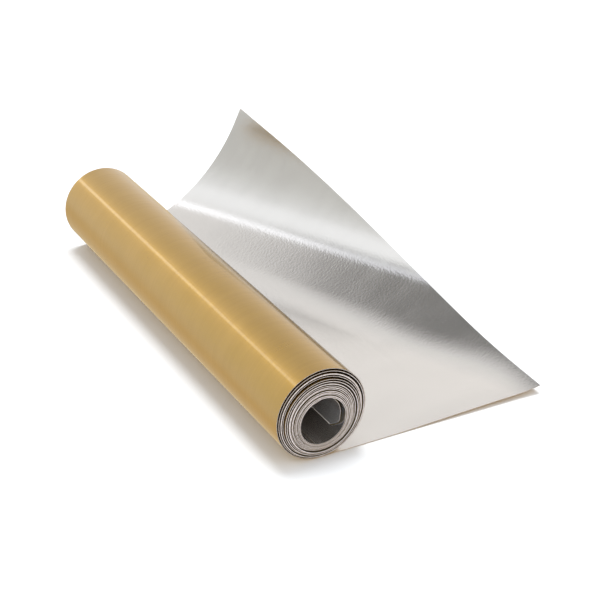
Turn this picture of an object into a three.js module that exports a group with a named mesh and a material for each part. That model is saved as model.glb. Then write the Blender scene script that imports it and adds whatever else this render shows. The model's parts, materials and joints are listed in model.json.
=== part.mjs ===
// Roll of metallised sign vinyl with its free end pulled out on a table. Millimetres, +Z up.
//
// The web is a gold face film carried on a silver release liner. It is wound on itself with no core,
// liner inwards, and the wound mass has settled, so the bore sits below the middle of the roll.
// The origin is on the table, under the line where the sheet leaves the roll, at mid width.
// +X runs out along the sheet and +Y along the roll.
//
// A web bends everywhere. Here it bends only at hinge lines, between flats: parallel to the roll
// where it unwinds, and askew across the sheet where its far corner curls up.
import * as THREE from "three";

// The web.
const WEB_WIDTH = 305;
const FILM_THICKNESS = 0.12;
const ADHESIVE_GAP = 0.03; // holds the film's tacky coat
const LINER_THICKNESS = 0.15;
const HINGE_GAP = 0.3; // between two flats, shared by both

// The roll.
const ROLL_RADIUS = 27;
const BORE_RADIUS = 12.9;
const BORE_DROP = 4.2; // from the roll's axis down to the bore's
const TURNS = 15.875; // the inner end lies low on the sheet's side
const FLATS_PER_TURN = 24;
const UNWOUND_FLATS = 5; // flats of the first quarter turn that can lie down on the table

// The sheet in front of the roll, before it is curled.
const SHEET_LENGTH = 145;
const CURL_SKEW = THREE.MathUtils.degToRad(22.6); // from the roll's direction to the curl's
const CURL_OFFSET = 0; // from the roll to the start of the curl, along the far edge
const CURL_RADIUS = 81;
const CURL_TIP = 11.5; // straight run up to the far corner
const CURL_STRIPS = 12;

const FLAT_ANGLE = (2 * Math.PI) / FLATS_PER_TURN;
const LAST_FLAT = Math.round(TURNS * FLATS_PER_TURN);
const HALF_WIDTH = WEB_WIDTH / 2;

// The two layers, as heights above the face that is outermost on the roll and lowest on the table.
const FILM = { name: "film", low: 0, high: FILM_THICKNESS };
const LINER_LOW = FILM_THICKNESS + ADHESIVE_GAP;
const LINER = { name: "liner", low: LINER_LOW, high: LINER_LOW + LINER_THICKNESS };
const LAYERS = [FILM, LINER];

const MATERIALS = {
  film: new THREE.MeshStandardMaterial({ color: 0xc9a04e, roughness: 0.32, metalness: 0.9 }),
  liner: new THREE.MeshStandardMaterial({ color: 0xcfcac6, roughness: 0.26, metalness: 0.85 }),
};

function layerMesh(name, geometry, layer) {
  const mesh = new THREE.Mesh(geometry, MATERIALS[layer.name]);
  mesh.name = `${name}_${layer.name}`;
  return mesh;
}

// One layer of a flat piece of web, from its outline seen from above.
function flatPiece(name, outline, layer) {
  const depth = layer.high - layer.low;
  const geometry = new THREE.ExtrudeGeometry(new THREE.Shape(outline), { depth, bevelEnabled: false });
  geometry.translate(0, 0, layer.low);
  return layerMesh(name, geometry, layer);
}

// ---- The roll: flats numbered from 0, on the table, inwards. Flat i faces i flat angles round. ----

// Signed distance from the origin to flat i, measured along its outward normal.
function flatDistance(i) {
  const inwards = i / LAST_FLAT;
  const innerRadius = BORE_RADIUS + LINER.high;
  const radius = THREE.MathUtils.lerp(ROLL_RADIUS, innerRadius, inwards);
  const axisHeight = ROLL_RADIUS - BORE_DROP * inwards;
  return radius - axisHeight * Math.cos(i * FLAT_ANGLE);
}

// The corner between flats i - 1 and i, at a depth below the web's outer face, as (x, z).
function corner(i, depth) {
  const before = flatDistance(i - 1) - depth;
  const after = flatDistance(i) - depth;
  const [a, b] = [(i - 1) * FLAT_ANGLE, i * FLAT_ANGLE];
  const x = before * Math.cos(b) - after * Math.cos(a);
  const z = after * Math.sin(a) - before * Math.sin(b);
  return new THREE.Vector2(x, z).divideScalar(Math.sin(FLAT_ANGLE));
}

// A point of flat i, a distance past its first corner.
function alongFlat(i, distance, depth) {
  const direction = new THREE.Vector2(-Math.cos(i * FLAT_ANGLE), Math.sin(i * FLAT_ANGLE));
  const square = new THREE.Vector2(Math.sin(i * FLAT_ANGLE), Math.cos(i * FLAT_ANGLE));
  return corner(i, 0).addScaledVector(direction, distance).addScaledVector(square, depth);
}

// One layer of the web along the flats from first to last, cut square at both ends.
function woundPiece(name, first, last, layer) {
  const length = corner(last, 0).distanceTo(corner(last + 1, 0));
  const face = (depth) => {
    const points = [alongFlat(first, HINGE_GAP / 2, depth)];
    for (let i = first + 1; i <= last; i += 1) points.push(corner(i, depth));
    points.push(alongFlat(last, length - HINGE_GAP / 2, depth));
    return points;
  };
  const outline = new THREE.Shape([...face(layer.low), ...face(layer.high).reverse()]);
  const geometry = new THREE.ExtrudeGeometry(outline, { depth: WEB_WIDTH, bevelEnabled: false });
  geometry.rotateX(Math.PI / 2);
  geometry.translate(0, HALF_WIDTH, 0);
  return layerMesh(name, geometry, layer);
}

function roll() {
  const group = new THREE.Group();
  const firstWound = UNWOUND_FLATS + 1;
  for (const layer of LAYERS) {
    for (let i = 1; i < firstWound; i += 1) group.add(woundPiece(`outer_wrap_${i}`, i, i, layer));
    group.add(woundPiece("coil", firstWound, LAST_FLAT, layer));
  }
  return group;
}

// ---- The sheet: laid out flat, u runs across the curl's hinge lines and v along them. ----

const NIP = -corner(1, 0).x; // the flat under the roll reaches this far behind the origin
const ACROSS = new THREE.Vector2(Math.cos(CURL_SKEW), Math.sin(CURL_SKEW));

// A point of the flat sheet in u and v.
function skewed(x, y) {
  return new THREE.Vector2(x, y).rotateAround(new THREE.Vector2(), -CURL_SKEW);
}

// The part of a convex outline whose u is above (side 1) or below (side -1) a limit.
function clip(outline, limit, side) {
  const kept = [];
  outline.forEach((point, i) => {
    const next = outline[(i + 1) % outline.length];
    const [here, there] = [side * (point.x - limit), side * (next.x - limit)];
    if (here >= 0) kept.push(point);
    if (here * there < 0) kept.push(point.clone().lerp(next, here / (here - there)));
  });
  return kept;
}

function sheet() {
  const group = new THREE.Group();
  const start = -NIP + HINGE_GAP / 2;
  const outline = [
    skewed(start, -HALF_WIDTH),
    skewed(SHEET_LENGTH, -HALF_WIDTH),
    skewed(SHEET_LENGTH, HALF_WIDTH),
    skewed(start, HALF_WIDTH),
  ];
  const curlStart = new THREE.Vector2(CURL_OFFSET, HALF_WIDTH).dot(ACROSS);
  const farCorner = new THREE.Vector2(SHEET_LENGTH, HALF_WIDTH).dot(ACROSS);
  const stripWidth = (farCorner - CURL_TIP - curlStart) / CURL_STRIPS;
  const hingeAngle = stripWidth / CURL_RADIUS;
  const firstHinge = curlStart + stripWidth / 2;

  group.rotation.z = CURL_SKEW;
  const flat = clip(outline, firstHinge - HINGE_GAP / 2, -1);
  for (const layer of LAYERS) group.add(flatPiece("sheet_flat", flat, layer));

  // Each strip hangs on the one before it, turned up by the same angle.
  let parent = group;
  for (let i = 0; i < CURL_STRIPS; i += 1) {
    const hinge = new THREE.Group();
    hinge.position.x = i === 0 ? firstHinge : stripWidth;
    hinge.rotation.y = -hingeAngle;
    parent.add(hinge);
    const low = firstHinge + i * stripWidth;
    const isTip = i === CURL_STRIPS - 1;
    const reach = isTip ? farCorner : low + stripWidth - HINGE_GAP / 2;
    const strip = clip(clip(outline, low + HINGE_GAP / 2, 1), reach, -1);
    const local = strip.map((point) => new THREE.Vector2(point.x - low, point.y));
    for (const layer of LAYERS) hinge.add(flatPiece(`curl_${i + 1}`, local, layer));
    parent = hinge;
  }
  return group;
}

const part = new THREE.Group();
part.add(roll(), sheet());

export default part;
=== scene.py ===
"""Roll of metallised sign vinyl, its free end pulled out on a table with the far corner curling up.

The web is a gold face film on a silver release liner. Here both layers are smooth closed skins that
stand for the CAD's flats. Metres, in the part's frame: +X runs out along the sheet, +Y along the roll.
"""
import json
import math

import bpy
import numpy as np
from mathutils import Matrix, Vector

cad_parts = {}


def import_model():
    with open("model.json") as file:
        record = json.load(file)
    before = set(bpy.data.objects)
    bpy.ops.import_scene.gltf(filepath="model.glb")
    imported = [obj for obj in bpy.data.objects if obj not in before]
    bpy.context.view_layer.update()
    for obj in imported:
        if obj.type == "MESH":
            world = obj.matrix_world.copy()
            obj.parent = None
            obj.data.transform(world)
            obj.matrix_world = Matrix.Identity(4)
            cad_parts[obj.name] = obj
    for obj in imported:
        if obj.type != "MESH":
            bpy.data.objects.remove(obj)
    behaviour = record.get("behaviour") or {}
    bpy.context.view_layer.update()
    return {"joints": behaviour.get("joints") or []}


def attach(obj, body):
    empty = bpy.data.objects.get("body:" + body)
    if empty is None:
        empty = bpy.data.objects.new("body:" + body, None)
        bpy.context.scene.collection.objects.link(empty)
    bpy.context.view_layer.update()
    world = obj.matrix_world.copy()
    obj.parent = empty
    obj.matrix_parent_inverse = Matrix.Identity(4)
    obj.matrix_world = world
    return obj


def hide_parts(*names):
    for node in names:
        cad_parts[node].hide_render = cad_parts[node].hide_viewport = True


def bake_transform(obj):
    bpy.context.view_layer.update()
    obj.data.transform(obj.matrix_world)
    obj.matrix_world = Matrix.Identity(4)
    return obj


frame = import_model()

MM = 0.001
FULL_TURN = 2 * math.pi
JOINTS = frame["joints"]

# ---- The web and the roll, as the CAD has them ----

HALF_WIDTH = 152.5 * MM
# Each layer's two depths behind the gold face. The adhesive lies between the layers.
FILM = {"slot": "film", "low": 0.0, "high": 0.12 * MM}
LINER = {"slot": "liner", "low": 0.15 * MM, "high": 0.30 * MM}
LAYERS = (FILM, LINER)

ROLL_RADIUS = 27 * MM
BORE_RADIUS = 12.9 * MM
INNER_RADIUS = BORE_RADIUS + LINER["high"]
BORE_DROP = 4.2 * MM  # how far the bore's centre lies below the roll's
TURNS = 15.875
SHEET_LENGTH = 145 * MM
CURL_TIP = 11.5 * MM

unroll_joints = [j for j in JOINTS if j["name"].startswith("unroll")]
curl_joints = [j for j in JOINTS if j["name"].startswith("curl")]
WRAP_ANGLE = math.radians(abs(unroll_joints[0]["range_deg"][0]))
WRAPS = len(unroll_joints)
UNROLLING_END = WRAPS * WRAP_ANGLE
WINDING_END = TURNS * FULL_TURN
STRIPS = len(curl_joints)
curl_axis = Vector(curl_joints[0]["axis"])
CURL_SKEW = math.atan2(curl_axis.x, -curl_axis.y)
CURL_START = HALF_WIDTH * math.sin(CURL_SKEW)
FAR_CORNER = SHEET_LENGTH * math.cos(CURL_SKEW) + CURL_START
CURL_END = FAR_CORNER - CURL_TIP
STRIP_WIDTH = (CURL_END - CURL_START) / STRIPS
CURL_RADIUS = 81 * MM

SEED = 11
rng = np.random.default_rng(SEED)


def smoothstep(x, low, high):
    t = np.clip((np.asarray(x, float) - low) / (high - low), 0, 1)
    return t * t * (3 - 2 * t)


def bump(x, centre, half):
    """1 at the centre, falling smoothly to 0 at half a width away."""
    return 1 - smoothstep(np.abs(np.asarray(x, float) - centre), 0, half)


# ---- Mesh building ----

SHARP_ANGLE = math.radians(40)


def skin(name, outer, inner, plan, body_materials, nodes):
    """A closed thin skin between two grids of points. plan holds each point's place on the flat web.

    body_materials are those of the outer face, the inner face and the cut edges.
    """
    rows, columns = outer.shape[:2]
    count = rows * columns
    vertices = np.concatenate([outer.reshape(-1, 3), inner.reshape(-1, 3)])
    index = np.arange(count).reshape(rows, columns)
    a, b, c, d = index[:-1, :-1], index[1:, :-1], index[1:, 1:], index[:-1, 1:]
    top = np.stack([a, b, c, d], -1).reshape(-1, 4)
    bottom = np.stack([a, d, c, b], -1).reshape(-1, 4) + count
    rim = []
    loop = [*index[0, :], *index[1:, -1], *index[-1, -2::-1], *index[-2:0:-1, 0]]
    for here, after in zip(loop, loop[1:] + loop[:1]):
        rim.append((here, after, after + count, here + count))
    faces = [*top.tolist(), *bottom.tolist(), *[tuple(int(i) for i in f) for f in rim]]
    mesh = bpy.data.meshes.new(name)
    mesh.from_pydata(vertices.tolist(), [], faces)
    for material in body_materials:
        mesh.materials.append(material)
    kinds = np.concatenate([np.zeros(len(top), int), np.ones(len(bottom), int), np.full(len(rim), 2)])
    mesh.polygons.foreach_set("material_index", kinds.astype(np.int32))
    flat = np.concatenate([plan.reshape(-1, 2)] * 2)
    uv = mesh.uv_layers.new(name="web")
    loops = np.zeros(len(mesh.loops), np.int32)
    mesh.loops.foreach_get("vertex_index", loops)
    uv.data.foreach_set("uv", flat[loops].astype(np.float32).ravel())
    mesh.validate()
    mesh.update()
    piece = bpy.data.objects.new(name, mesh)
    bpy.context.scene.collection.objects.link(piece)
    mesh.shade_smooth()
    mesh.set_sharp_from_angle(angle=SHARP_ANGLE)
    bpy.context.view_layer.update()
    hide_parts(*nodes)
    return piece


# ---- The path of the roll ----

# How loosely each turn lies on the next, from the outside in: 1 is the average.
LOOSENESS = (1.25, 0.7, 1.9, 0.75, 1.45, 0.85, 1.75, 0.75, 0.7, 1.05, 0.72, 0.8, 1.0, 0.7, 0.85, 0.8)
STEPS = 4000


def winding():
    """Share of the wall that lies outside each turn number."""
    turns = np.linspace(0, TURNS, STEPS)
    loose = np.interp(turns, np.arange(len(LOOSENESS)) + 0.5, LOOSENESS)
    share = np.concatenate([[0], np.cumsum((loose[1:] + loose[:-1]) / 2)])
    return turns, share / share[-1]


WOUND_TURNS, WOUND_SHARE = winding()


def support(phi):
    """Distance of the outer face from the origin along its normal, phi round from straight down."""
    turn = phi / FULL_TURN
    even = turn / TURNS
    uneven = np.interp(turn, WOUND_TURNS, WOUND_SHARE)
    inwards = even + (uneven - even) * smoothstep(turn, 0.3, 1.0)
    radius = ROLL_RADIUS + (INNER_RADIUS - ROLL_RADIUS) * inwards
    return radius - (ROLL_RADIUS - BORE_DROP * inwards) * np.cos(phi)


def before_end(degrees):
    """The place round the winding that lies this far before the loose inner end."""
    return WINDING_END - math.radians(degrees)


FLAP_GAP = 0.95 * MM
FLAP_RETURN = 0.45  # share of the gap that closes again towards the cut end


def flap(phi):
    """How far the loose inner end stands off the turn outside it."""
    reach = smoothstep(phi, before_end(120), before_end(60))
    return FLAP_GAP * reach * (1 - FLAP_RETURN * smoothstep(phi, before_end(40), WINDING_END))


def roll_path(phi, depth):
    """Points at a depth below the outer face, as x and z."""
    small = 1e-4
    high = support(phi) - depth - flap(phi)
    after = support(phi + small) - flap(phi + small)
    before = support(phi - small) - flap(phi - small)
    slope = (after - before) / (2 * small)
    x = -high * np.sin(phi) - slope * np.cos(phi)
    z = -high * np.cos(phi) + slope * np.sin(phi)
    return x, z


# How far each turn has slid along the roll towards -Y, in millimetres, by turn number.
SLID_TURNS = (0, 1, 2, 3.2, 4.2, 5, 6, 7, 8, 9.5, 11, 12.5, 14, 15, 15.9)
SLID = (0, 0.1, 0.9, 0.3, 1.9, 1.5, 2.2, 0.9, 1.5, 1.2, 1.7, 1.3, 1.7, 1.3, 1.6)
JITTER_SPREAD = 0.12  # millimetres
JITTER_POINTS = 80
JITTER_TURNS = np.linspace(0, 16, JITTER_POINTS)
jitter = rng.normal(0, JITTER_SPREAD, JITTER_POINTS)


def telescoped(phi):
    """How far the web has slid towards -Y, in metres."""
    turn = phi / FULL_TURN
    wobble = np.interp(turn, JITTER_TURNS, jitter) * smoothstep(turn, 0.6, 1.2)
    return (np.interp(turn, SLID_TURNS, SLID) + wobble) * MM


SET_BACK = 2.8  # millimetres
CORNER_CUT = 5.5  # millimetres
CORNER_ANGLE = math.radians(30)


def near_edge(phi):
    """The near edge is set back and wavy where the inner end stands off, and its corner is cut off."""
    back = smoothstep(phi, before_end(150), before_end(115))
    corner = np.clip((phi - WINDING_END) / CORNER_ANGLE + 1, 0, 1)
    waves = 0.35 * np.sin(7 * phi) + 0.25 * np.sin(13 * phi + 1)
    return -HALF_WIDTH - telescoped(phi) + back * (SET_BACK + waves) * MM + corner * CORNER_CUT * MM


def far_edge(phi):
    return HALF_WIDTH - telescoped(phi)


def arc_length(x, z):
    return np.concatenate([[0], np.cumsum(np.hypot(np.diff(x), np.diff(z)))])


WIDE_TURN = 2.6  # where the liner's edge stands off more than it does round about


def splay(phi):
    """How much the liner's cut edges stand off its film, filling part of the gap to the next turn."""
    turn = phi / FULL_TURN
    gap = support(phi) - support(phi + FULL_TURN) - LINER["high"]
    low = 0.5 + 0.5 * np.cos(phi)
    outer = 0.06 + 0.40 * low + 0.5 * bump(turn, WIDE_TURN, 0.6)
    inner = 0.48 + 0.2 * np.sin(2.4 * turn)
    share = outer + (inner - outer) * smoothstep(turn, 5, 6.5)
    uneven = 0.8 + 0.25 * np.sin(1.7 * phi + 1) * np.sin(0.6 * phi)
    share = share * smoothstep(turn, 0.3, 0.9) * uneven
    return share * np.maximum(gap, 0) * (1 - smoothstep(turn, TURNS - 1.2, TURNS - 0.9))


# The columns of points over the web's width, and how much of the splay each has on the liner.
WIDTH = 2 * HALF_WIDTH
SPLAYED = 2.5 * MM
ACROSS = np.array([0, SPLAYED, WIDTH / 2, WIDTH - SPLAYED, WIDTH])
STANDING = np.array([1, 0, 0, 0, 1])


def wound_grid(phi, depth, standing=0.0):
    """Points over the web's width at each phi. standing is each column's share of the splay."""
    low, high = near_edge(phi)[:, None], far_edge(phi)[:, None]
    from_near, from_far = low + ACROSS[None, :], high - WIDTH + ACROSS[None, :]
    y = np.where(ACROSS[None, :] < WIDTH / 2, from_near, from_far)
    shares = np.broadcast_to(standing, ACROSS.shape)
    columns = [roll_path(phi, depth + splay(phi) * share) for share in shares]
    x, z = np.array([c[0] for c in columns]).T, np.array([c[1] for c in columns]).T
    return np.stack([x, y, z], -1)


def wound_piece(name, phi, layer, materials, nodes):
    outer = wound_grid(phi, layer["low"])
    inner = wound_grid(phi, layer["high"], STANDING if layer is LINER else 0.0)
    x, z = roll_path(phi, 0)
    start = -phi[0] * ROLL_RADIUS
    run = start - arc_length(x, z)
    plan = np.stack([np.repeat(run[:, None], len(ACROSS), 1), outer[..., 1]], -1)
    return skin(name, outer, inner, plan, materials, nodes)


# ---- The sheet ----

def strip_shape(u):
    """Where the line u of the flat web lies once curled: distance along, height and tilt."""
    bend = np.clip(u - CURL_START, 0, CURL_END - CURL_START)
    angle = bend / CURL_RADIUS
    beyond = np.maximum(u - CURL_END, 0)
    along = np.minimum(u, CURL_START) + CURL_RADIUS * np.sin(angle) + beyond * np.cos(angle)
    height = CURL_RADIUS * (1 - np.cos(angle)) + beyond * np.sin(angle)
    return along, height, angle


NIP = float(roll_path(np.array([0.0]), 0)[0][0])
SIN, COS = math.sin(CURL_SKEW), math.cos(CURL_SKEW)


def ruling(u):
    """The lowest and highest v on the web at each u. v runs along the bending lines, u square to them."""
    low = np.maximum((u * COS - SHEET_LENGTH) / SIN, (-HALF_WIDTH - u * SIN) / COS)
    high = np.minimum((u * COS - NIP) / SIN, (HALF_WIDTH - u * SIN) / COS)
    return low, high


EDGE_LIFT = 2.6 * MM
WAVE_LIFT = 0.11  # millimetres, more than the waves are deep


def lift(x, y):
    """The sheet's slight waves and its near edge's lift off the table."""
    from_roll = smoothstep(x, 6 * MM, 70 * MM)
    edge = smoothstep(-y, 60 * MM, HALF_WIDTH)
    raised = EDGE_LIFT * smoothstep(x, 30 * MM, SHEET_LENGTH) * edge ** 1.5
    waves = 0.03 * np.sin(x / (13 * MM) + y / (31 * MM))
    waves = waves + 0.04 * np.sin(y / (17 * MM) - x / (41 * MM) + 2)
    return raised + from_roll * (WAVE_LIFT + waves) * MM


def sheet_grid(u, depth, columns):
    low, high = ruling(u)
    v = low[:, None] + (high - low)[:, None] * np.linspace(0, 1, columns)[None, :]
    along, height, angle = (k[:, None] for k in strip_shape(u))
    x0 = u[:, None] * COS - v * SIN
    y0 = u[:, None] * SIN + v * COS
    rise = depth + lift(x0, y0)
    along = along - rise * np.sin(angle)
    z = height + rise * np.cos(angle)
    points = np.stack([along * COS - v * SIN, along * SIN + v * COS, z], -1)
    return points, np.stack([x0, y0], -1)


def sheet_piece(name, u, columns, layer, materials, nodes):
    """The piece, its flat size and its flat area."""
    outer, plan = sheet_grid(u, layer["low"], columns)
    inner, _ = sheet_grid(u, layer["high"], columns)
    piece = skin(name, outer, inner, plan, materials, nodes)
    low, high = ruling(u)
    width = high - low
    area = float(np.sum((width[1:] + width[:-1]) * np.diff(u)) / 2)
    return piece, (float(u[-1] - u[0]), float(high.max() - low.min())), area


# ---- Materials ----

class Nodes:
    """Small helpers for a material's or world's node tree."""

    def __init__(self, tree):
        self.tree = tree
        self.tree.nodes.clear()

    def add(self, kind, **settings):
        node = self.tree.nodes.new(kind)
        for key, value in settings.items():
            setattr(node, key, value)
        return node

    def put(self, socket, value):
        if isinstance(value, bpy.types.NodeSocket):
            self.tree.links.new(value, socket)
        else:
            socket.default_value = value

    def math(self, operation, *values):
        node = self.add("ShaderNodeMath", operation=operation)
        for socket, value in zip(node.inputs, values):
            self.put(socket, value)
        return node.outputs[0]

    def ramp(self, value, low, high, to_low=0.0, to_high=1.0):
        node = self.add("ShaderNodeMapRange", interpolation_type="SMOOTHSTEP")
        ends = {"From Min": low, "From Max": high, "To Min": to_low, "To Max": to_high}
        for key, number in ends.items():
            node.inputs[key].default_value = number
        self.put(node.inputs["Value"], value)
        return node.outputs[0]

    def mix(self, factor, a, b, blend="MIX"):
        node = self.add("ShaderNodeMix", data_type="RGBA", blend_type=blend)
        for name, value in (("Factor_Float", factor), ("A_Color", a), ("B_Color", b)):
            socket = next(s for s in node.inputs if s.identifier == name)
            ready = isinstance(value, (bpy.types.NodeSocket, float))
            self.put(socket, value if ready else (*value, 1))
        return next(s for s in node.outputs if s.identifier == "Result_Color")

    def dot(self, vector, direction):
        node = self.add("ShaderNodeVectorMath", operation="DOT_PRODUCT")
        self.put(node.inputs[0], vector)
        node.inputs[1].default_value = direction
        return node.outputs["Value"]

    def web(self, stretch=(1, 1, 1)):
        """The place on the web, in metres, stretched for streaks that run along it or across it."""
        uv = self.add("ShaderNodeUVMap", uv_map="web")
        mapping = self.add("ShaderNodeMapping")
        mapping.inputs["Scale"].default_value = stretch
        self.put(mapping.inputs["Vector"], uv.outputs[0])
        return mapping.outputs[0]

    def noise(self, vector, scale, detail=3.0, rough=0.55):
        node = self.add("ShaderNodeTexNoise")
        self.put(node.inputs["Vector"], vector)
        for key, number in (("Scale", scale), ("Detail", detail), ("Roughness", rough)):
            node.inputs[key].default_value = number
        return node.outputs["Fac"]

    def bump(self, height, strength, distance, normal=None):
        node = self.add("ShaderNodeBump")
        self.put(node.inputs["Strength"], strength)
        node.inputs["Distance"].default_value = distance
        self.put(node.inputs["Height"], height)
        if normal is not None:
            self.put(node.inputs["Normal"], normal)
        return node.outputs[0]

    def principled(self, **values):
        """The surface's shader and output. A socket's name has underscores for its spaces."""
        node = self.add("ShaderNodeBsdfPrincipled")
        for key, value in values.items():
            socket = node.inputs[key.replace("_", " ")]
            if not isinstance(value, (bpy.types.NodeSocket, float)):
                value = (*value, 1)
            self.put(socket, value)
        output = self.add("ShaderNodeOutputMaterial")
        self.tree.links.new(node.outputs[0], output.inputs[0])


def material(name):
    made = bpy.data.materials.new(name)
    made.use_nodes = True
    return made, Nodes(made.node_tree)


def inner_end():
    """Length of web from the roll's lowest line to its loose inner end."""
    phi = np.linspace(UNROLLING_END, WINDING_END, STEPS)
    return UNROLLING_END * ROLL_RADIUS + float(arc_length(*roll_path(phi, 0))[-1])


# Base colours. A pair is a dark and a light shade.
GOLD = (0.535, 0.335, 0.062)
GOLD_PALE = (0.570, 0.362, 0.080)
GOLD_STREAK = (0.50, 0.305, 0.060)
SILVER = (0.775, 0.76, 0.745)
SILVER_PALE = (0.81, 0.795, 0.78)
# Painted light: a paler silver beside the roll that brightens a dark reflection there.
SILVER_RUBBED_PAINTED_LIGHT = (0.84, 0.82, 0.80)
# Painted shade: the liner's colour inside the bore, darkened as if in shadow.
SILVER_SHADED_IN_BORE = (0.70, 0.655, 0.615)
SILVER_LOOSE_END = (0.80, 0.80, 0.81)
BARE_EDGE = (0.80, 0.78, 0.75)
ADHESIVE = ((0.45, 0.40, 0.30), (0.55, 0.49, 0.38))
FILM_EDGE = ((0.16, 0.11, 0.06), (0.34, 0.25, 0.14))
LINER_EDGE = ((0.50, 0.45, 0.435), (0.74, 0.68, 0.66))
LINER_BACK = ((0.62, 0.60, 0.58), (0.74, 0.72, 0.70))
SILVER_METALLIC = 0.88


def gold_material():
    """Gold under a clear coat, with a fine grain and streaks that run along the web."""
    made, n = material("gold_film")
    streaks = n.noise(n.web((6, 900, 1)), 1.0, 2.0)
    cloud = n.noise(n.web(), 38.0, 3.0)
    grain = n.noise(n.web(), 1500.0, 2.0)
    colour = n.mix(n.ramp(cloud, 0.35, 0.7), GOLD, GOLD_PALE)
    colour = n.mix(n.math("MULTIPLY", n.ramp(streaks, 0.3, 0.7), 0.25), colour, GOLD_STREAK)
    clouded = n.ramp(cloud, 0.3, 0.7, -0.02, 0.02)
    roughness = n.math("ADD", n.ramp(streaks, 0.3, 0.7, 0.29, 0.35), clouded)
    height = n.math("ADD", n.math("MULTIPLY", grain, 0.6), n.math("MULTIPLY", streaks, 0.4))
    n.principled(
        Base_Color=colour, Metallic=1.0, Roughness=roughness, Normal=n.bump(height, 0.35, 0.03 * MM),
        Coat_Weight=0.8, Coat_Roughness=0.06, Coat_IOR=1.7, Coat_Tint=(1.0, 0.97, 0.9))
    return made


def silver_material():
    """Metallised liner with a faint orange peel and crinkle, creased and painted darker as shade inside the
    bore.
    """
    made, n = material("silver_liner")
    peel = n.noise(n.web(), 640.0, 2.0, 0.6)
    crinkle = n.noise(n.web(), 190.0, 3.0, 0.5)
    cloud = n.noise(n.web((1, 2.2, 1)), 26.0, 3.0)
    lines = n.noise(n.web((900, 8, 1)), 1.0, 2.0)
    colour = n.mix(n.ramp(cloud, 0.3, 0.7), SILVER, SILVER_PALE)
    clouded = n.ramp(cloud, 0.3, 0.7, -0.02, 0.02)
    roughness = n.math("ADD", n.ramp(lines, 0.3, 0.7, 0.105, 0.13), clouded)
    # The part that lies flat beside the roll is rubbed to a satin, and so is the far corner. Beside the roll
    # the colour is also painted paler, as painted light that brightens a dark reflection there.
    place = n.web()
    from_roll = n.dot(place, (1, 0, 0))
    out = n.dot(place, (COS, SIN, 0))
    laid = n.ramp(from_roll, -10 * MM, 0.0)
    rubbed_with_painted_light = n.math("MULTIPLY", n.ramp(out, 85 * MM, 60 * MM), laid)
    # Painted light: the colour beside the roll is made paler; the same mask also adds roughness.
    colour = n.mix(rubbed_with_painted_light, colour, SILVER_RUBBED_PAINTED_LIGHT)
    roughness = n.math("MULTIPLY_ADD", rubbed_with_painted_light, 0.105, roughness)
    roughness = n.math("MULTIPLY_ADD", n.ramp(out, 140 * MM, 180 * MM), 0.09, roughness)
    # In the bore the liner is creased along the roll and its colour is painted darker as shade, and its cut
    # end is bare.
    to_end = n.math("ADD", from_roll, inner_end())
    # Painted shade: this mask darkens the liner's colour inside the bore, and also sets the strength of the
    # creases' bump.
    creased_and_shaded = n.ramp(to_end, 90 * MM, 80 * MM)
    loose = n.ramp(to_end, 16 * MM, 9 * MM)
    bare = n.ramp(to_end, 0.9 * MM, 0.5 * MM)
    creases = n.noise(n.web((300, 5, 1)), 1.0, 2.0)
    colour = n.mix(creased_and_shaded, colour, SILVER_SHADED_IN_BORE)
    colour = n.mix(loose, colour, SILVER_LOOSE_END)
    colour = n.mix(bare, colour, BARE_EDGE)
    metallic = n.math("MULTIPLY_ADD", bare, -0.78, SILVER_METALLIC)
    metallic = n.math("MULTIPLY_ADD", loose, -0.10, metallic)
    normal = n.bump(peel, 0.5, 0.075 * MM)
    normal = n.bump(creases, n.math("MULTIPLY", creased_and_shaded, 0.5), 0.6 * MM, normal)
    normal = n.bump(crinkle, 0.12, 0.09 * MM, normal)
    n.principled(Base_Color=colour, Metallic=metallic, Roughness=roughness, Normal=normal)
    return made


def adhesive_material():
    made, n = material("adhesive")
    cloud = n.noise(n.web(), 120.0, 3.0)
    roughness = n.ramp(cloud, 0.3, 0.7, 0.35, 0.5)
    n.principled(Base_Color=n.mix(cloud, *ADHESIVE), Roughness=roughness, Metallic=0.0)
    return made


def fibrous_material(name, shades, roughness, metallic):
    """For the layers' cut edges and the liner's back."""
    made, n = material(name)
    fibres = n.noise(n.web(), 700.0, 4.0)
    colour = n.mix(n.ramp(fibres, 0.3, 0.7), *shades)
    normal = n.bump(fibres, 0.3, 0.03 * MM)
    n.principled(Base_Color=colour, Roughness=roughness, Metallic=metallic, Normal=normal)
    return made


gold = gold_material()
silver = silver_material()
adhesive = adhesive_material()
film_edge = fibrous_material("film_edge", FILM_EDGE, 0.5, 0.2)
liner_edge = fibrous_material("liner_edge", LINER_EDGE, 0.6, 0.0)
liner_back = fibrous_material("liner_back", LINER_BACK, 0.5, 0.0)
MATERIALS = {"film": (gold, adhesive, film_edge), "liner": (liner_back, silver, liner_edge)}


# ---- The pieces ----

# How finely the pieces are divided.
WOUND_STEP = math.radians(3)
HINGE_POINTS = 9
LAID_POINTS = 90
STRIP_POINTS = 13
TIP_POINTS = 9
SHEET_COLUMNS = 61
# The sheet comes to a point at two of its corners, and its pieces stop this far short of it.
SHORT = 0.01 * MM

near_corner = SHEET_LENGTH * COS - HALF_WIDTH * SIN
near_nip = NIP * COS - HALF_WIDTH * SIN
wraps = ["sheet_flat", *[f"outer_wrap_{i}" for i in range(1, WRAPS)], "coil"]
strips = ["sheet_flat", *[f"curl_{i}" for i in range(1, STRIPS + 1)]]

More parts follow.
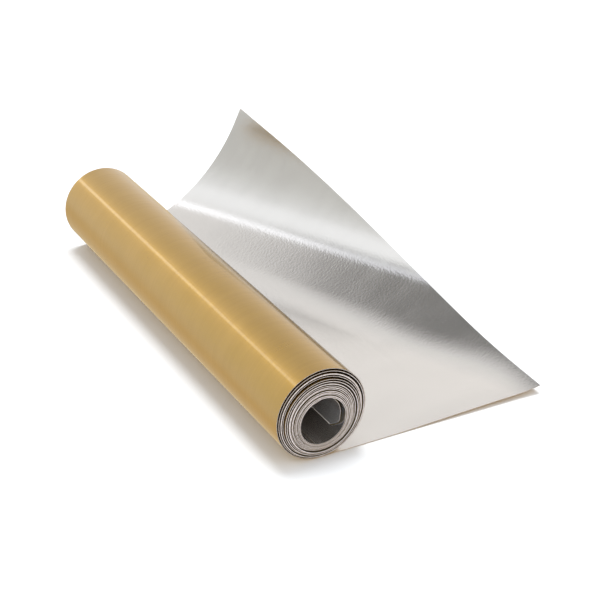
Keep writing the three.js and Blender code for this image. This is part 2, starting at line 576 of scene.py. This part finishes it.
for layer in LAYERS:
    kind = layer["slot"]
    paints = MATERIALS[kind]

    # The quarter turn that can lie down on the table: one piece for each hinge's stretch of it.
    for k in range(1, WRAPS + 1):
        phi = np.linspace((k - 1) * WRAP_ANGLE, k * WRAP_ANGLE, HINGE_POINTS)
        nodes = [f"{wraps[k]}_{kind}"] if k < WRAPS else []
        piece = wound_piece(f"unrolling_{k}_{kind}", phi, layer, paints, nodes)
        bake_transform(piece)

    # The rest of the winding, to its loose inner end.
    steps = round((WINDING_END - UNROLLING_END) / WOUND_STEP)
    phi = np.linspace(UNROLLING_END, WINDING_END, steps + 1)
    piece = wound_piece(f"winding_{kind}", phi, layer, paints, [f"coil_{kind}"])
    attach(piece, "coil")

    # The part of the sheet that lies on the table.
    u = np.linspace(near_nip + SHORT, CURL_START, LAID_POINTS)
    piece, flat, area = sheet_piece(
        f"laid_sheet_{kind}", u, SHEET_COLUMNS, layer, paints, [f"sheet_flat_{kind}"])
    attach(piece, "sheet_flat")

    # The curling corner.
    for k in range(1, STRIPS + 1):
        low = CURL_START + (k - 1) * STRIP_WIDTH
        u = np.linspace(low, low + STRIP_WIDTH, STRIP_POINTS)
        # The sheet's outline turns at its near corner, so a row of points lies there.
        if low < near_corner < low + STRIP_WIDTH:
            u[np.argmin(np.abs(u - near_corner))] = near_corner
        piece, flat, area = sheet_piece(
            f"curling_{k}_{kind}", u, SHEET_COLUMNS, layer, paints, [f"{strips[k]}_{kind}"])
        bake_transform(piece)
    u = np.linspace(CURL_END, FAR_CORNER - SHORT, TIP_POINTS)
    piece, flat, area = sheet_piece(f"curl_tip_{kind}", u, SHEET_COLUMNS, layer, paints, [])
    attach(piece, strips[-1])


# ---- Floor, light and camera ----

FLOOR_REACH = 30.0
FLOOR_DROP = 0.3 * MM
FLOOR_COLOUR = (0.88, 0.90, 0.925)


def floor():
    """A pale floor just under the object, which the metal surfaces don't mirror."""
    mesh = bpy.data.meshes.new("floor")
    signs = ((-1, -1), (1, -1), (1, 1), (-1, 1))
    corners = [(x * FLOOR_REACH, y * FLOOR_REACH, 0) for x, y in signs]
    mesh.from_pydata(corners, [], [(0, 1, 2, 3)])
    made, n = material("pale_floor")
    n.principled(Base_Color=FLOOR_COLOUR, Roughness=0.75)
    mesh.materials.append(made)
    plane = bpy.data.objects.new("floor", mesh)
    plane.location.z = -FLOOR_DROP
    plane.visible_glossy = False
    bpy.context.scene.collection.objects.link(plane)


def direction(azimuth, elevation):
    """The unit vector at an azimuth, from +Y towards +X, and an elevation, both in degrees."""
    a, e = math.radians(azimuth), math.radians(elevation)
    return Vector((math.sin(a) * math.cos(e), math.cos(a) * math.cos(e), math.sin(e)))


def turned(right, up, degrees):
    """Two axes square to each other, turned in their own plane."""
    t = math.radians(degrees)
    return right * math.cos(t) + up * math.sin(t), up * math.cos(t) - right * math.sin(t)


# What the metal mirrors: the studio's walls, what lies below the horizon, and a dark gap high up.
WALL_LOW = (0.92, 0.875, 0.825)
WALL_HIGH = (0.79, 0.78, 0.77)
WALL_LEFT = (0.87, 0.885, 0.885)
WALL_FAR_LEFT = (0.60, 0.60, 0.57)
BELOW = (0.76, 0.63, 0.41)
DARK_GAP = (0.07, 0.069, 0.066)


def world():
    """A soft studio, with a dark gap and panels of light for the metal to mirror."""
    made = bpy.data.worlds.new("studio")
    bpy.context.scene.world = made
    made.use_nodes = True
    n = Nodes(made.node_tree)
    toward = n.add("ShaderNodeTexCoord").outputs["Generated"]
    height = n.dot(toward, (0, 0, 1))
    left = n.math("MAXIMUM", n.dot(toward, (-1, 0, 0)), 0.0)
    back = n.math("MULTIPLY_ADD", left, 0.40, n.dot(toward, (0, 0.946, -0.12)))
    wall = n.mix(n.ramp(height, 0.1, 0.85), WALL_LOW, WALL_HIGH)
    wall = n.mix(n.ramp(height, -0.30, -0.02), BELOW, wall)
    wall = n.mix(n.ramp(left, 0.35, 0.62), wall, WALL_LEFT)
    wall = n.mix(n.ramp(left, 0.74, 0.98), wall, WALL_FAR_LEFT)
    # The gap is high up on the +Y side. It stops short of the back wall and of the left, and thins overhead.
    dark = n.math("MULTIPLY", n.ramp(back, 0.55, 0.39), n.ramp(height, 0.40, 0.60))
    dark = n.math("MULTIPLY", dark, n.ramp(n.dot(toward, (0, 1, 0)), 0.06, 0.22))
    dark = n.math("MULTIPLY", dark, n.ramp(left, 0.66, 0.54))
    dark = n.math("MULTIPLY", dark, n.ramp(height, 0.995, 0.95, 0.55, 1.0))
    colour = n.mix(dark, wall, DARK_GAP)

    def panel(colour, added, azimuth, elevation, wide, high, soft, turn=0.0):
        """A soft rectangle of light: half width, half height and turn in degrees, seen from the object."""
        ahead = direction(azimuth, elevation)
        right = ahead.cross(Vector((0, 0, 1))).normalized()
        right, up = turned(right, right.cross(ahead), turn)
        a = n.math("DIVIDE", n.math("ABSOLUTE", n.dot(toward, right)), math.sin(math.radians(wide)))
        b = n.math("DIVIDE", n.math("ABSOLUTE", n.dot(toward, up)), math.sin(math.radians(high)))
        edge = n.math("MAXIMUM", a, b)
        inside = n.ramp(edge, 1 + soft, 1 - soft)
        front = n.math("GREATER_THAN", n.dot(toward, ahead), 0.0)
        return n.mix(n.math("MULTIPLY", inside, front), colour, added, "ADD")

    # Two faint glows, a long thin band and a short bright strip.
    colour = panel(
        colour, (0.13, 0.12, 0.11), azimuth=-21, elevation=30, wide=14, high=22, soft=0.9)
    colour = panel(
        colour, (0.17, 0.175, 0.19), azimuth=-64, elevation=41, wide=12, high=6, soft=0.6)
    colour = panel(
        colour, (0.62, 0.64, 0.70), azimuth=-50, elevation=49, wide=24, high=1.8, soft=0.5, turn=-22)
    colour = panel(
        colour, (1.6, 1.6, 1.5), azimuth=-21, elevation=29, wide=2.0, high=8, soft=0.4, turn=41)
    background = n.add("ShaderNodeBackground")
    n.put(background.inputs["Color"], colour)
    background.inputs["Strength"].default_value = 1.0
    output = n.add("ShaderNodeOutputWorld")
    n.tree.links.new(background.outputs[0], output.inputs[0])


def soft_light(name, azimuth, elevation, spread, strength, colour):
    """Even light from one side of the studio, which the metal doesn't mirror. Angles are in degrees."""
    data = bpy.data.lights.new(name, "SUN")
    data.angle = math.radians(spread)
    data.energy = strength
    data.color = colour
    lamp = bpy.data.objects.new(name, data)
    toward = direction(azimuth, elevation)
    lamp.location = toward
    lamp.rotation_euler = toward.to_track_quat("Z", "Y").to_euler()
    lamp.visible_glossy = False
    bpy.context.scene.collection.objects.link(lamp)


CAMERA_AZIMUTH = 209.50
CAMERA_ELEVATION = 27.37
CAMERA_TILT = 1.16
CAMERA_DISTANCE = 887.2 * MM
CAMERA_TARGET = Vector((77.5 * MM, 10.0 * MM, 0))
LENS = 82.75
SENSOR = 36
CLIP_START = 0.05


def camera():
    """The camera looks at its target from the -X, -Y side and from above."""
    back = direction(CAMERA_AZIMUTH, CAMERA_ELEVATION)
    right = Vector((0, 0, 1)).cross(back).normalized()
    right, up = turned(right, back.cross(right), CAMERA_TILT)
    data = bpy.data.cameras.new("camera")
    data.lens = LENS
    data.sensor_width = SENSOR
    data.clip_start = CLIP_START
    seen = bpy.data.objects.new("camera", data)
    placed = Matrix((right, up, back)).transposed().to_4x4()
    placed.translation = CAMERA_TARGET + back * CAMERA_DISTANCE
    seen.matrix_world = placed
    bpy.context.scene.collection.objects.link(seen)
    bpy.context.scene.camera = seen


floor()
world()
soft_light("key", azimuth=15, elevation=75, spread=26, strength=2.3, colour=(0.97, 0.985, 1.0))
soft_light("front", azimuth=195, elevation=38, spread=60, strength=0.6, colour=(1.0, 0.99, 0.98))
camera()
bpy.context.scene.view_settings.view_transform = "Standard"
